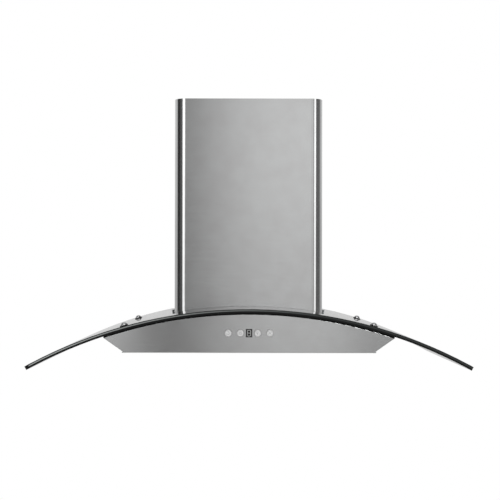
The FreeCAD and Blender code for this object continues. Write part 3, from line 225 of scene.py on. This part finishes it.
def groundEdgePaintedLight():
    # ground and half polished rim: dark, with a painted pale line that stands for light running along
    # inside the sheet, and painted shade at the right and in the left corner
    values = paintedEdgeLightValues
    radius = glassValues["radius"]
    material, tree, shader, place = begunMaterial("groundGlassEdge", {
        "IOR": glassValues["ior"], "Specular IOR Level": values["shine"]})
    fromAxis = addNode(tree, "ShaderNodeMapping", {
        "Vector": place, "Location": (0, 0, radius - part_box("glass_canopy")[1].z), "Scale": (1, 0, 1)})
    reach = addNode(tree, "ShaderNodeVectorMath", {0: fromAxis}, take="Value", operation="LENGTH")
    depth = addNode(tree, "ShaderNodeMapRange", {
        "Value": reach, "From Min": radius, "From Max": radius - glassValues["thick"]})
    # painted light: a pale band in the rim's colour stands for light running inside the sheet, paler at
    # the left than at the right
    paintedLightBands = [addNode(tree, "ShaderNodeValToRGB", {"Fac": depth},
                     stops=[(at, linear(tone)) for at, tone in values[side]])
             for side in ("left", "right")]
    sideways = addNode(tree, "ShaderNodeSeparateXYZ", {"Vector": place})
    # painted light and shade: the mix goes from the left's brighter bands to the right's darker ones
    share = addNode(tree, "ShaderNodeMapRange", {
        "Value": sideways, "From Min": values["from"], "From Max": values["to"]})
    banded = addNode(tree, "ShaderNodeMix", {0: share, 6: paintedLightBands[0], 7: paintedLightBands[1]},
                     take=2, data_type="RGBA")
    # painted shade: the rim's left corner is coloured near black
    corner = addNode(tree, "ShaderNodeMapRange", {
        "Value": sideways, "From Min": values["cornerFrom"], "From Max": values["cornerTo"]})
    grind = addNode(tree, "ShaderNodeTexNoise", {
        "Vector": place, "Scale": 1000 / values["grind"], "Detail": 2})
    connect(shader, {
        "Base Color": addNode(tree, "ShaderNodeMix", {
            0: corner, 6: banded, 7: linear(values["corner"])}, take=2, data_type="RGBA"),
        "Roughness": addNode(tree, "ShaderNodeMapRange", {
            "Value": grind, "To Min": values["low"], "To Max": values["high"]})})
    return material


litValues = {"colour": "#8f908f", "glow": "#b0b2b0", "strength": 0.12, "grain": 2, "low": 0.35,
             "high": 0.45}


def litSegments():
    # pale plastic light bars of a switched-on figure, just glowing
    values = litValues
    material, tree, shader, place = begunMaterial("litDisplayBars", {
        "Base Color": linear(values["colour"]), "Emission Color": linear(values["glow"]),
        "Emission Strength": values["strength"]})
    grain = addNode(tree, "ShaderNodeTexNoise", {
        "Vector": place, "Scale": 1000 / values["grain"], "Detail": 1})
    connect(shader, {"Roughness": addNode(tree, "ShaderNodeMapRange", {
        "Value": grain, "To Min": values["low"], "To Max": values["high"]})})
    return material


inkValues = {"thin": "#9d9ea0", "full": "#8c8d8f", "patch": 0.6, "rough": 0.6}


def printedInk():
    # pad printed grey ink: thin, matte and slightly uneven
    values = inkValues
    material, tree, shader, place = begunMaterial("padPrintedInk", {"Roughness": values["rough"]})
    cover = addNode(tree, "ShaderNodeTexNoise", {
        "Vector": place, "Scale": 1000 / values["patch"], "Detail": 2})
    connect(shader, {"Base Color": addNode(tree, "ShaderNodeMix", {
        0: cover, 6: linear(values["full"]), 7: linear(values["thin"])}, take=2, data_type="RGBA")})
    return material


def grained(values):
    # a moulded, cast or plated surface: one noise moves its colour and roughness and raises its grain
    material, tree, shader, place = begunMaterial(values["name"], {
        "Metallic": values.get("metallic", 0), "IOR": values.get("ior", 1.5),
        "Specular IOR Level": values.get("shine", 0.5)})
    grain = addNode(tree, "ShaderNodeTexNoise", {
        "Vector": place, "Scale": 1000 / values["grain"], "Detail": 3})
    connect(shader, {
        "Base Color": addNode(tree, "ShaderNodeMix", {
            0: grain, 6: linear(values["colour"]), 7: linear(values["other"])},
            take=2, data_type="RGBA"),
        "Roughness": addNode(tree, "ShaderNodeMapRange", {
            "Value": grain, "To Min": values["low"], "To Max": values["high"]})})
    if "depth" in values:
        connect(shader, {"Normal": addNode(tree, "ShaderNodeBump", {
            "Height": grain, "Distance": values["depth"]})})
    return material


galvanisedValues = {"spangle": 7, "dark": "#9a9c9e", "light": "#b9bbbd", "low": 0.34, "high": 0.5}


def galvanisedSheet():
    # hot dip galvanised sheet: zinc spangles of a few millimetres, each a little brighter or duller
    values = galvanisedValues
    material, tree, shader, place = begunMaterial("hotDipGalvanisedSteel", {"Metallic": 1})
    cells = addNode(tree, "ShaderNodeTexVoronoi", {
        "Vector": place, "Scale": 1000 / values["spangle"]}, take="Color")
    tone = addNode(tree, "ShaderNodeSeparateColor", {"Color": cells})
    connect(shader, {
        "Base Color": addNode(tree, "ShaderNodeMix", {
            0: tone, 6: linear(values["dark"]), 7: linear(values["light"])}, take=2, data_type="RGBA"),
        "Roughness": addNode(tree, "ShaderNodeMapRange", {
            "Value": tone, "To Min": values["low"], "To Max": values["high"]})})
    return material


boardValues = {"mask": "#12502c", "trace": "#1c7040", "pitch": 1.3, "rough": 0.35, "coat": 0.3,
               "traceWidth": 0.12, "traceLength": 6, "rowHeight": 0.8}


def circuitBoard():
    # glass fibre laminate under green solder mask, with traces that show as a lighter green
    values = boardValues
    material, tree, shader, place = begunMaterial("solderMaskedLaminate", {
        "Roughness": values["rough"], "Coat Weight": values["coat"]})
    turned = addNode(tree, "ShaderNodeMapping", {"Vector": place, "Rotation": (math.pi / 2, 0, 0)})
    connect(shader, {"Base Color": addNode(tree, "ShaderNodeTexBrick", {
        "Vector": turned, "Scale": 1000 / values["pitch"], "Color1": linear(values["mask"]),
        "Color2": linear(values["mask"]), "Mortar": linear(values["trace"]),
        "Mortar Size": values["traceWidth"], "Brick Width": values["traceLength"],
        "Row Height": values["rowHeight"]})})
    return material


lensValues = {"colour": "#e9e9e6", "rough": 0.45, "ior": 1.58, "clear": 0.35, "milk": 0.2,
              "scatter": 0.004, "ring": 7.54, "depth": 0.0001}
waveTurn = 20  # the wave node's own angle, in radians, for each unit of distance


def frostedLens(centre):
    # frosted polycarbonate diffuser with moulded rings, the same at the left and the right
    values = lensValues
    material, tree, shader, place = begunMaterial("frostedPolycarbonate", {
        "Base Color": linear(values["colour"]), "Roughness": values["rough"], "IOR": values["ior"],
        "Transmission Weight": values["clear"], "Subsurface Weight": values["milk"],
        "Subsurface Scale": values["scatter"]})
    parts = addNode(tree, "ShaderNodeSeparateXYZ", {"Vector": place}).node.outputs
    apart = addNode(tree, "ShaderNodeMath", {0: parts["X"]}, operation="ABSOLUTE")
    folded = addNode(tree, "ShaderNodeCombineXYZ", {"X": apart, "Y": parts["Y"], "Z": parts["Z"]})
    centred = addNode(tree, "ShaderNodeMapping", {"Vector": folded, "Location": -centre})
    rings = addNode(tree, "ShaderNodeTexWave", {
        "Vector": centred, "Scale": 2 * math.pi * 1000 / values["ring"] / waveTurn},
        take="Fac", wave_type="RINGS", rings_direction="Z")
    connect(shader, {"Normal": addNode(tree, "ShaderNodeBump", {
        "Height": rings, "Distance": values["depth"]})})
    return material


finishes = {
    # extruded rubber strip: matte and very black
    "rubber": {"name": "extrudedRubber", "colour": "#050505", "other": "#0d0d0d", "grain": 0.8,
               "low": 0.6, "high": 0.8, "depth": 0.00002, "shine": 0.12},
    # moulded rubber under the bolts: a little smoother
    "black_rubber": {"name": "mouldedRubber", "colour": "#0a0a0a", "other": "#151515", "grain": 0.6,
                     "low": 0.5, "high": 0.7, "depth": 0.00001, "shine": 0.3},
    # polished chrome plate on brass: mirror with faint buffing haze
    "chrome": {"name": "polishedChromePlate", "metallic": 1, "colour": "#dcdcdd", "other": "#e4e4e5",
               "grain": 1.5, "low": 0.05, "high": 0.12},
    # bright zinc plate: greyer than chrome and half blurred
    "zinc": {"name": "brightZincPlate", "metallic": 1, "colour": "#aeb0b3", "other": "#c3c5c8",
             "grain": 2.0, "low": 0.25, "high": 0.4, "depth": 0.000002},
    # satin chrome plated ABS: pale and softly bright
    "button": {"name": "satinPlatedAbs", "metallic": 0.85, "colour": "#e2e2e2", "other": "#ececec",
               "grain": 0.25, "low": 0.3, "high": 0.42, "depth": 0.000004},
    # smoked acrylic window: near black and glossy
    "display": {"name": "smokedAcrylic", "colour": "#0a0a0b", "other": "#101011", "grain": 3,
                "low": 0.05, "high": 0.1, "ior": 1.49},
    # glass filled nylon moulded black: fine spark texture
    "black_plastic": {"name": "glassFilledNylon", "colour": "#141414", "other": "#1f1f1f",
                      "grain": 0.4, "low": 0.45, "high": 0.62, "depth": 0.00002, "ior": 1.53},
    # moulded grey polypropylene: waxy, slightly cloudy
    "grey_plastic": {"name": "mouldedPolypropylene", "colour": "#77797a", "other": "#838586",
                     "grain": 1.2, "low": 0.38, "high": 0.5, "depth": 0.00001, "ior": 1.49},
    # lacquered stator and die cast end shields: dark and slightly rough
    "motor": {"name": "lacqueredDieCastMotor", "metallic": 0.6, "colour": "#4a4b4d",
              "other": "#5b5c5e", "grain": 1.0, "low": 0.45, "high": 0.65, "depth": 0.00004},
    # die cast and drawn aluminium, left plain: soft white metal
    "aluminium": {"name": "plainDieCastAluminium", "metallic": 1, "colour": "#b7b8ba",
                  "other": "#c6c7c9", "grain": 0.9, "low": 0.35, "high": 0.5, "depth": 0.00001},
}
materials = {slot: grained(values) for slot, values in finishes.items()}
lampLow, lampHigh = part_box("lamp_lens_right")
materials.update({
    "brushed": brushedStainless("beltBrushedStainless", "XY", (0, 0.1, 1)),
    "filter_steel": brushedStainless("satinFilterStainless", "Y", (1, 0, 0.1)),
    "canopy_glass": toughenedGlass(), "galvanised": galvanisedSheet(), "board": circuitBoard(),
    "lens": frostedLens((lampLow + lampHigh) / 2),
})

# clear silicone bumpers, which only show as small grey marks
bumperValues = {"name": "clearSiliconeBumper", "colour": "#77797a", "other": "#85888a", "grain": 1.0,
                "low": 0.3, "high": 0.4, "ior": 1.41}
ownMaterials = {"chimney_pads": grained(bumperValues),
                "under_panel": brushedStainless("beltBrushedUnderside", "X", (0, 1, 0.1))}
slotOf = {row["node"]: row["material_slot"] for row in frame["record"]["subparts"]}
for node, piece in frame["nodes"].items():
    for place in piece.material_slots:
        place.material = ownMaterials.get(node, materials[slotOf[node]])
print("materials on CAD nodes:", len(slotOf))


# Canopy: the CAD sheet with its edges arrised, ground on the rim and polished on its faces.
# Lengths are in metres and angles in degrees.
canopyValues = {"merge": 0.00001, "flat": 0.5, "arris": 0.0004, "arrisSteps": 2, "sharp": 50,
                "smooth": 30, "rim": 0.9}


def makeCanopy():
    values = canopyValues
    canopy = copyOf(frame["nodes"]["glass_canopy"], "canopySheet")
    activate(canopy)
    bpy.ops.object.mode_set(mode="EDIT")
    bpy.ops.mesh.select_all(action="SELECT")
    bpy.ops.mesh.remove_doubles(threshold=values["merge"])
    bpy.ops.mesh.dissolve_limited(angle_limit=math.radians(values["flat"]))
    bpy.ops.object.mode_set(mode="OBJECT")
    modify(canopy, "BEVEL", width=values["arris"], segments=values["arrisSteps"],
           limit_method="ANGLE", angle_limit=math.radians(values["sharp"]))
    bpy.ops.object.shade_smooth_by_angle(angle=math.radians(values["smooth"]))
    modify(canopy, "WEIGHTED_NORMAL", keep_sharp=True)
    hand(canopy, materials["canopy_glass"], "hood")
    # the rim's material has painted light and painted shade in its colour
    canopy.data.materials.append(groundEdgePaintedLight())
    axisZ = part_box("glass_canopy")[1].z - glassValues["radius"]
    for face in canopy.data.polygons:
        # the rim and its arrises are the faces that don't look straight away from or to the arch's axis
        outwards = Vector((face.center.x, 0, face.center.z - axisZ)).normalized()
        face.material_index = 1 if abs(face.normal.dot(outwards)) < values["rim"] else 0
    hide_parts("glass_canopy")


def flatBar(size, values):
    # a thin upright bar at the origin, with its corners cut or rounded by a share of the stroke
    bar = begin("bar", bpy.ops.mesh.primitive_cube_add, size=1, scale=size)
    settle(bar)
    bpy.ops.object.mode_set(mode="EDIT")
    pick(bar, "edges", lambda edge: abs(edge.verts[0].co.y - edge.verts[1].co.y) > size[1] / 2)
    bpy.ops.mesh.bevel(offset=values["stroke"] * values["corner"], segments=values["cornerSteps"])
    bpy.ops.object.mode_set(mode="OBJECT")
    return bar


# Display: a seven-segment figure that shines through the smoked window, made as lit bars on its face.
digitValues = {"wide": 0.0063, "tall": 0.0113, "stroke": 0.0012, "gap": 0.0003, "thick": 0.00006,
               "corner": 0.42, "cornerSteps": 1}


def makeDigit():
    values = digitValues
    low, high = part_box("display_window")
    centre = (low + high) / 2
    half = values["wide"] / 2
    quarter = values["tall"] / 4
    lying = (values["wide"] - values["gap"], values["thick"], values["stroke"])
    upright = (values["stroke"], values["thick"], 2 * quarter - values["gap"])
    bars = []
    for x, z, size in [(0, 2 * quarter, lying), (0, 0, lying), (0, -2 * quarter, lying),
                       (-half, quarter, upright), (half, quarter, upright),
                       (-half, -quarter, upright), (half, -quarter, upright)]:
        bar = flatBar(size, values)
        bar.data.transform(Matrix.Translation(
            (centre.x + x, low.y - values["thick"] / 2, centre.z + z)))
        bars.append(bar)
    hand(join(bars, "displayDigit"), litSegments(), "hood")


# Button signs: thin printed rings, bars and blades, one sign on each cap. They are counted in ring
# radii: a ring's radius, its height, and its start and turn in degrees; a bar's place to the right
# and up, its length and its lean in degrees.
signValues = {"radius": 0.0026, "stroke": 0.0006, "thick": 0.00005, "corner": 0.45,
              "cornerSteps": 3, "ringSteps": 32, "merge": 0.00001, "bladePlace": 0.55,
              "bladeLength": 0.95, "bladeLean": 28.65}
blades = [(signValues["bladePlace"] * math.cos(math.radians(around)),
           signValues["bladePlace"] * math.sin(math.radians(around)),
           signValues["bladeLength"], 90 - around + signValues["bladeLean"])
          for around in (45, 135, 225, 315)]
signs = [
    {"rings": [(1, 0, 120, 300)], "bars": [(0, 0.8, 1.1, 0)]},  # on and off
    {"rings": [(1, 0, 0, 360)], "bars": [(0, 0.3, 0.8, 0), (0.25, 0, 0.7, 90)]},  # delay: a clock
    {"rings": [(0.75, 0.3, -60, 300)],
     "bars": [(0, -0.55, 0.7, 90), (0, -0.95, 0.5, 90)]},  # light: a bulb on its base
    {"rings": [], "bars": blades},  # fan speed
]


def flatRing(centre, radius, start, turn):
    # an upright ring or part of one: an edge spun round the sign's middle, then given its thickness
    stroke = signValues["stroke"]
    ring = begin("ring", bpy.ops.mesh.primitive_plane_add, size=stroke)
    bpy.ops.object.mode_set(mode="EDIT")
    pick(ring, "verts", lambda corner: corner.co.y > 0)
    bpy.ops.mesh.delete(type="VERT")
    bpy.ops.object.mode_set(mode="OBJECT")
    ring.data.transform(Matrix.Translation(centre) @ Matrix.Rotation(-start, 4, "Y")
                        @ Matrix.Translation((radius, stroke / 2, 0)))
    bpy.ops.object.mode_set(mode="EDIT")
    bpy.ops.mesh.select_all(action="SELECT")
    bpy.ops.mesh.spin(steps=round(signValues["ringSteps"] * turn / 2 / math.pi), angle=turn,
                      center=centre, axis=(0, -1, 0))
    bpy.ops.mesh.select_all(action="SELECT")
    bpy.ops.mesh.remove_doubles(threshold=signValues["merge"])
    bpy.ops.mesh.extrude_region_move(TRANSFORM_OT_translate={"value": (0, -signValues["thick"], 0)})
    bpy.ops.mesh.select_all(action="SELECT")
    bpy.ops.mesh.normals_make_consistent(inside=False)
    bpy.ops.object.mode_set(mode="OBJECT")
    return ring


def makeSigns():
    values = signValues
    unit = values["radius"]
    ink = printedInk()
    for number, sign in enumerate(signs, 1):
        low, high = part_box("button_%d" % number)
        centre = Vector(((low.x + high.x) / 2, low.y, (low.z + high.z) / 2))
        made = []
        for radius, up, start, turn in sign["rings"]:
            made.append(flatRing(centre + Vector((0, 0, up * unit)), radius * unit,
                                 math.radians(start), math.radians(turn)))
        for right, up, length, lean in sign["bars"]:
            bar = flatBar((values["stroke"], values["thick"], length * unit), values)
            middle = centre + Vector((right * unit, -values["thick"] / 2, up * unit))
            bar.data.transform(Matrix.Translation(middle)
                               @ Matrix.Rotation(math.radians(lean), 4, "Y"))
            made.append(bar)
        hand(join(made, "buttonSign%d" % number), ink, "button_%d_body" % number)


# Screws: pan heads with a cross recess, under the body's rim, beside the under panel.
screwValues = {"radius": 0.0033, "sides": 32, "height": 0.0016, "rounding": 0.55, "roundSteps": 4,
               "crossLong": 0.0036, "crossWide": 0.0008, "crossDeep": 0.0009, "smooth": 35,
               "beside": 0.006, "shares": (0.04, 0.5, 0.95), "turn": 0.7}


def makeScrewHead():
    # one head, turned down, with its seat at the origin
    values = screwValues
    height = values["height"]
    head = begin("screwHead", bpy.ops.mesh.primitive_cylinder_add, vertices=values["sides"],
                 radius=values["radius"], depth=height, location=(0, 0, -height / 2))
    settle(head)
    bpy.ops.object.mode_set(mode="EDIT")
    pick(head, "edges", lambda edge: max(corner.co.z for corner in edge.verts) < -height / 2)
    bpy.ops.mesh.bevel(offset=height * values["rounding"], segments=values["roundSteps"])
    bpy.ops.object.mode_set(mode="OBJECT")
    for turned in (0, math.pi / 2):
        cutter = begin("cross", bpy.ops.mesh.primitive_cube_add, size=1, location=(0, 0, -height),
                       rotation=(0, 0, turned),
                       scale=(values["crossLong"], values["crossWide"], 2 * values["crossDeep"]))
        modify(head, "BOOLEAN", operation="DIFFERENCE", object=cutter, solver="EXACT")
        bpy.data.objects.remove(cutter)
    activate(head)
    bpy.ops.object.shade_smooth_by_angle(angle=math.radians(values["smooth"]))
    return head


def makeScrews():
    values = screwValues
    head = makeScrewHead()
    low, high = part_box("under_panel")
    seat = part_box("body_casing")[0].z
    places = [Vector((side * (high.x + values["beside"]), low.y + (high.y - low.y) * share, seat))
              for side in (-1, 1) for share in values["shares"]]
    for index, place in enumerate(places):
        turned = Matrix.Rotation(values["turn"] * index, 4, "Z")
        screw = copyOf(head, "rimScrew%d" % (index + 1), Matrix.Translation(place) @ turned)
        hand(screw, materials["zinc"], "hood")
    bpy.data.objects.remove(head)


makeCanopy()
print("canopy made")
makeDigit()
makeSigns()
print("display figure and button signs made")
makeScrews()
print("screws made")


# Studio: white background, a pale floor far below, soft light, and a room of soft boxes and dark
# gaps, which gives the steel its bands. The room's brightness is given round about, by bearing from
# the camera's side to the right, and by height, both in degrees.
roomValues = {
    "bearings": [(-180, 0.8), (-150, 0.9), (-99, 0.75), (-92, 0.05), (-72, 0.04), (-58, 0.12),
                 (-36, 0.22), (-34, 2.2), (-16, 2.2), (-14, 0.4), (-10, 0.5), (-8.2, 1.1),
                 (-7.2, 1.06), (-6.3, 0.78), (-5.4, 0.45), (-4.4, 0.32), (-3.4, 0.27), (-2.6, 0.46),
                 (-1.4, 0.7), (0.2, 0.87), (1.5, 0.97), (5.2, 1.05), (6.3, 0.9), (7.6, 0.62),
                 (9.4, 0.6), (16, 1.0), (31, 0.45), (33, 2.0), (50, 2.0), (52, 0.2), (92, 0.2),
                 (118, 0.8)],
    "heights": [(-90, 0.6), (-14, 0.6), (-4, 0.81), (1, 0.86), (4, 1.03), (8, 1.22), (11, 1.08),
                (16, 0.88), (24, 0.6), (50, 0.6), (90, 0.65)],
    "brightest": 2.2, "highest": 1.25, "plainStrength": 0.75}
white = (1, 1, 1, 1)


def seenDirectly(tree, paths):
    # 1 for what the camera sees by itself or through glass alone, and 0 for what lights or is mirrored
    through = addNode(tree, "ShaderNodeMath", {
        0: paths["Is Transmission Ray"], 1: paths["Glossy Depth"]}, operation="GREATER_THAN")
    return addNode(tree, "ShaderNodeMath", {0: paths["Is Camera Ray"], 1: through}, operation="MAXIMUM")


def makeWorld():
    world = bpy.data.worlds.new("studioRoom")
    bpy.context.scene.world = world
    world.use_nodes = True
    tree = world.node_tree
    tree.nodes.clear()
    way = addNode(tree, "ShaderNodeTexCoord", take="Generated")
    parts = addNode(tree, "ShaderNodeSeparateXYZ", {"Vector": way}).node.outputs
    toCamera = addNode(tree, "ShaderNodeMath", {0: parts["Y"], 1: -1.0}, operation="MULTIPLY")
    bearing = addNode(tree, "ShaderNodeMath", {0: parts["X"], 1: toCamera}, operation="ARCTAN2")
    turn = addNode(tree, "ShaderNodeMapRange", {
        "Value": bearing, "From Min": -math.pi, "From Max": math.pi})
    around = addNode(tree, "ShaderNodeValToRGB", {"Fac": turn}, stops=[
        ((degrees + 180) / 360, [level / roomValues["brightest"]] * 3 + [1])
        for degrees, level in roomValues["bearings"]])
    height = addNode(tree, "ShaderNodeMath", {0: parts["Z"]}, operation="ARCSINE")
    climb = addNode(tree, "ShaderNodeMapRange", {
        "Value": height, "From Min": -math.pi / 2, "From Max": math.pi / 2})
    upwards = addNode(tree, "ShaderNodeValToRGB", {"Fac": climb}, stops=[
        ((degrees + 90) / 180, [level / roomValues["highest"]] * 3 + [1])
        for degrees, level in roomValues["heights"]])
    room = addNode(tree, "ShaderNodeMix", {0: 1.0, 6: around, 7: upwards}, take=2, data_type="RGBA",
                   blend_type="MULTIPLY")
    banded = addNode(tree, "ShaderNodeBackground", {
        "Color": room, "Strength": roomValues["brightest"] * roomValues["highest"]})
    plain = addNode(tree, "ShaderNodeBackground", {
        "Color": white, "Strength": roomValues["plainStrength"]})
    backdrop = addNode(tree, "ShaderNodeBackground", {"Color": white, "Strength": 1})
    paths = addNode(tree, "ShaderNodeLightPath").node.outputs
    mirrored = addNode(tree, "ShaderNodeMath", {0: paths["Glossy Depth"], 1: 0.5},
                       operation="GREATER_THAN")
    lit = addNode(tree, "ShaderNodeMixShader", {0: mirrored, 1: plain, 2: banded})
    shown = addNode(tree, "ShaderNodeMixShader", {0: seenDirectly(tree, paths), 1: lit, 2: backdrop})
    addNode(tree, "ShaderNodeOutputWorld", {"Surface": shown})


floorValues = {"drop": 2.6, "radius": 14, "sides": 64, "colour": "#f2f2f0", "rough": 0.9}


def makeFloor():
    values = floorValues
    floor = begin("studioFloor", bpy.ops.mesh.primitive_circle_add, radius=values["radius"],
                  vertices=values["sides"], fill_type="NGON", location=(0, 0, -values["drop"]))
    # matte painted floor, which takes light and shadow, and shows as the white background
    material, tree, shader, place = begunMaterial("matteStudioFloor", {
        "Base Color": linear(values["colour"]), "Roughness": values["rough"]})
    glow = addNode(tree, "ShaderNodeEmission", {"Color": white, "Strength": 1})
    paths = addNode(tree, "ShaderNodeLightPath").node.outputs
    shown = addNode(tree, "ShaderNodeMixShader", {
        0: seenDirectly(tree, paths), 1: shader.outputs[0], 2: glow})
    tree.links.new(shown, tree.nodes["Material Output"].inputs["Surface"])
    floor.data.materials.append(material)


lampValues = {"keySoftbox": {"place": (1.3, -2.0, 1.9), "power": 38, "size": 1.6},
              "fillSoftbox": {"place": (-0.6, -1.4, -1.9), "power": 12, "size": 1.2}}
lampAim = Vector((0, -0.25, 0))


def softLamp(name, values):
    light = bpy.data.lights.new(name, "AREA")
    light.energy = values["power"]
    light.size = values["size"]
    lamp = bpy.data.objects.new(name, light)
    bpy.context.scene.collection.objects.link(lamp)
    lamp.visible_glossy = False  # the steel mirrors the room's soft boxes only
    lamp.location = values["place"]
    lamp.rotation_euler = (lampAim - lamp.location).to_track_quat("-Z", "Y").to_euler()


cameraValues = {"place": (-0.021, -2.525, -0.028), "lens": 73.25, "sensor": 36,
                "shift": (0.0226, 0.034), "roll": -0.1}


def makeCamera():
    lens = bpy.data.cameras.new("photoCamera")
    lens.sensor_width = cameraValues["sensor"]
    lens.lens = cameraValues["lens"]
    lens.shift_x, lens.shift_y = cameraValues["shift"]
    camera = bpy.data.objects.new("photoCamera", lens)
    bpy.context.scene.collection.objects.link(camera)
    camera.location = cameraValues["place"]
    camera.rotation_euler = (math.pi / 2, math.radians(cameraValues["roll"]), 0)
    bpy.context.scene.camera = camera


makeWorld()
makeFloor()
for name, values in lampValues.items():
    softLamp(name, values)
makeCamera()
bpy.context.scene.view_settings.view_transform = "Standard"
print("studio, lamps and camera made")
